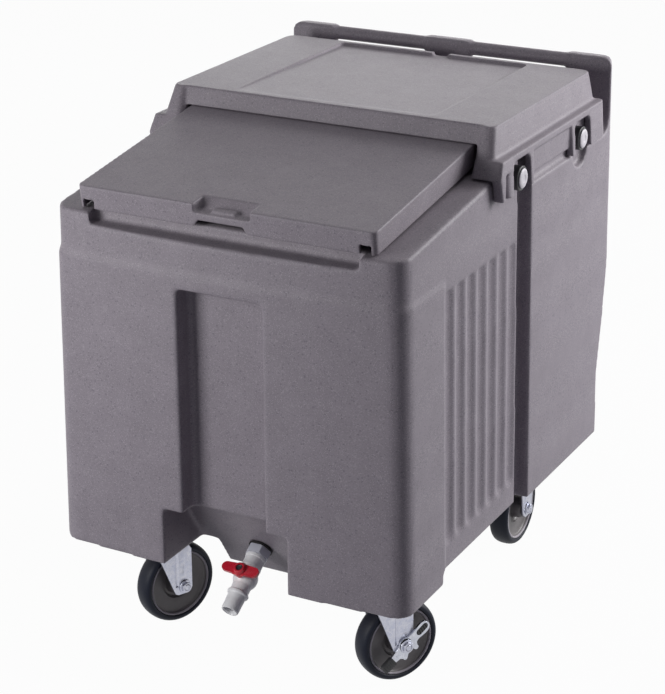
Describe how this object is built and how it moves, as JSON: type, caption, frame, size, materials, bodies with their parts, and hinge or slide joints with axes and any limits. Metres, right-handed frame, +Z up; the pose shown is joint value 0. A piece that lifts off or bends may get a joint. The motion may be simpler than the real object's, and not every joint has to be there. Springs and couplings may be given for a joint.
{
  "type": "mobile ice bin",
  "caption": "Insulated plastic ice bin on casters, with a lid that slides back under a fixed hood and a ball valve that drains its sump.",
  "frame": {"origin": "on the floor, at the middle of the bin's width and depth", "axes": "+X towards the right side seen from the front, +Y from the drain's side towards the handle wall, +Z up"},
  "size_m": [0.584, 0.7437, 0.8],
  "materials": {
    "granite": "matte",
    "foam": "matte",
    "white_plastic": "satin",
    "black_plastic": "satin",
    "red_plastic": "satin",
    "grey_plastic": "satin",
    "tyre": "satin",
    "hub": "satin",
    "gasket": "matte",
    "zinc": "satin",
    "chrome": "polished"
  },
  "bodies": {
    "tub": {"tub_shell": "granite", "foam_core": "foam", "fill_plug": "black_plastic", "hood": "granite", "hood_pin_right_front": "white_plastic", "hood_pin_right_rear": "white_plastic", "hood_pin_left_front": "white_plastic", "hood_pin_left_rear": "white_plastic", "hood_pin_spacer_right_front": "black_plastic", "hood_pin_spacer_right_rear": "black_plastic", "hood_pin_spacer_left_front": "black_plastic", "hood_pin_spacer_left_rear": "black_plastic", "drain_tube": "grey_plastic", "drain_gasket": "gasket", "drain_locknut": "grey_plastic", "valve_body": "white_plastic", "hose_nozzle": "white_plastic", "caster_front_right_plate": "zinc", "caster_front_right_kingpin": "zinc", "caster_front_left_plate": "zinc", "caster_front_left_kingpin": "zinc", "caster_rear_right_fork": "zinc", "caster_rear_right_bush": "zinc", "caster_rear_right_axle": "zinc", "caster_rear_right_nut": "zinc", "caster_rear_left_fork": "zinc", "caster_rear_left_bush": "zinc", "caster_rear_left_axle": "zinc", "caster_rear_left_nut": "zinc"},
    "lid": {"sliding_lid": "granite"},
    "shelf": {"drain_shelf": "granite"},
    "valve": {"valve_ball": "white_plastic", "valve_handle": "red_plastic"},
    "front_right_swivel": {"caster_front_right_fork": "zinc", "caster_front_right_bush": "zinc", "caster_front_right_axle": "zinc", "caster_front_right_nut": "zinc"},
    "front_right_wheel": {"caster_front_right_tyre": "tyre", "caster_front_right_hub": "hub"},
    "brake": {"brake_lever": "chrome", "brake_pad": "black_plastic"},
    "front_left_swivel": {"caster_front_left_fork": "zinc", "caster_front_left_bush": "zinc", "caster_front_left_axle": "zinc", "caster_front_left_nut": "zinc"},
    "front_left_wheel": {"caster_front_left_tyre": "tyre", "caster_front_left_hub": "hub"},
    "rear_right_wheel": {"caster_rear_right_tyre": "tyre", "caster_rear_right_hub": "hub"},
    "rear_left_wheel": {"caster_rear_left_tyre": "tyre", "caster_rear_left_hub": "hub"}
  },
  "joints": [
    {"name": "lid_slide", "type": "hinge", "parent": "tub", "child": "lid", "pos_m": [0, 0.05648, -1.14242], "axis": [-1, 0, 0], "range_deg": [0, 8.1]},
    {"name": "shelf_lift", "type": "slide", "parent": "tub", "child": "shelf", "axis": [0, 0, 1], "range_m": [0, 0.06]},
    {"name": "valve_turn", "type": "hinge", "parent": "tub", "child": "valve", "pos_m": [0, -0.31244, 0.14253], "axis": [0, -0.5446, 0.8387], "range_deg": [0, 90]},
    {"name": "front_right_swivel_turn", "type": "hinge", "parent": "tub", "child": "front_right_swivel", "pos_m": [0.186, -0.273, 0.15], "axis": [0, 0, 1], "continuous": true},
    {"name": "front_right_wheel_roll", "type": "hinge", "parent": "front_right_swivel", "child": "front_right_wheel", "pos_m": [0.2072, -0.23908, 0.0635], "axis": [0.848, -0.5299, 0], "continuous": true},
    {"name": "brake_rock", "type": "hinge", "parent": "front_right_swivel", "child": "brake", "pos_m": [0.2072, -0.23908, 0.0635], "axis": [0.848, -0.5299, 0], "range_deg": [0, 18]},
    {"name": "front_left_swivel_turn", "type": "hinge", "parent": "tub", "child": "front_left_swivel", "pos_m": [-0.186, -0.273, 0.15], "axis": [0, 0, 1], "continuous": true},
    {"name": "front_left_wheel_roll", "type": "hinge", "parent": "front_left_swivel", "child": "front_left_wheel", "pos_m": [-0.17037, -0.23618, 0.0635], "axis": [0.9205, -0.3907, 0], "continuous": true},
    {"name": "rear_right_wheel_roll", "type": "hinge", "parent": "tub", "child": "rear_right_wheel", "pos_m": [0.183, 0.243, 0.0635], "axis": [1, 0, 0], "continuous": true},
    {"name": "rear_left_wheel_roll", "type": "hinge", "parent": "tub", "child": "rear_left_wheel", "pos_m": [-0.183, 0.243, 0.0635], "axis": [1, 0, 0], "continuous": true}
  ]
}
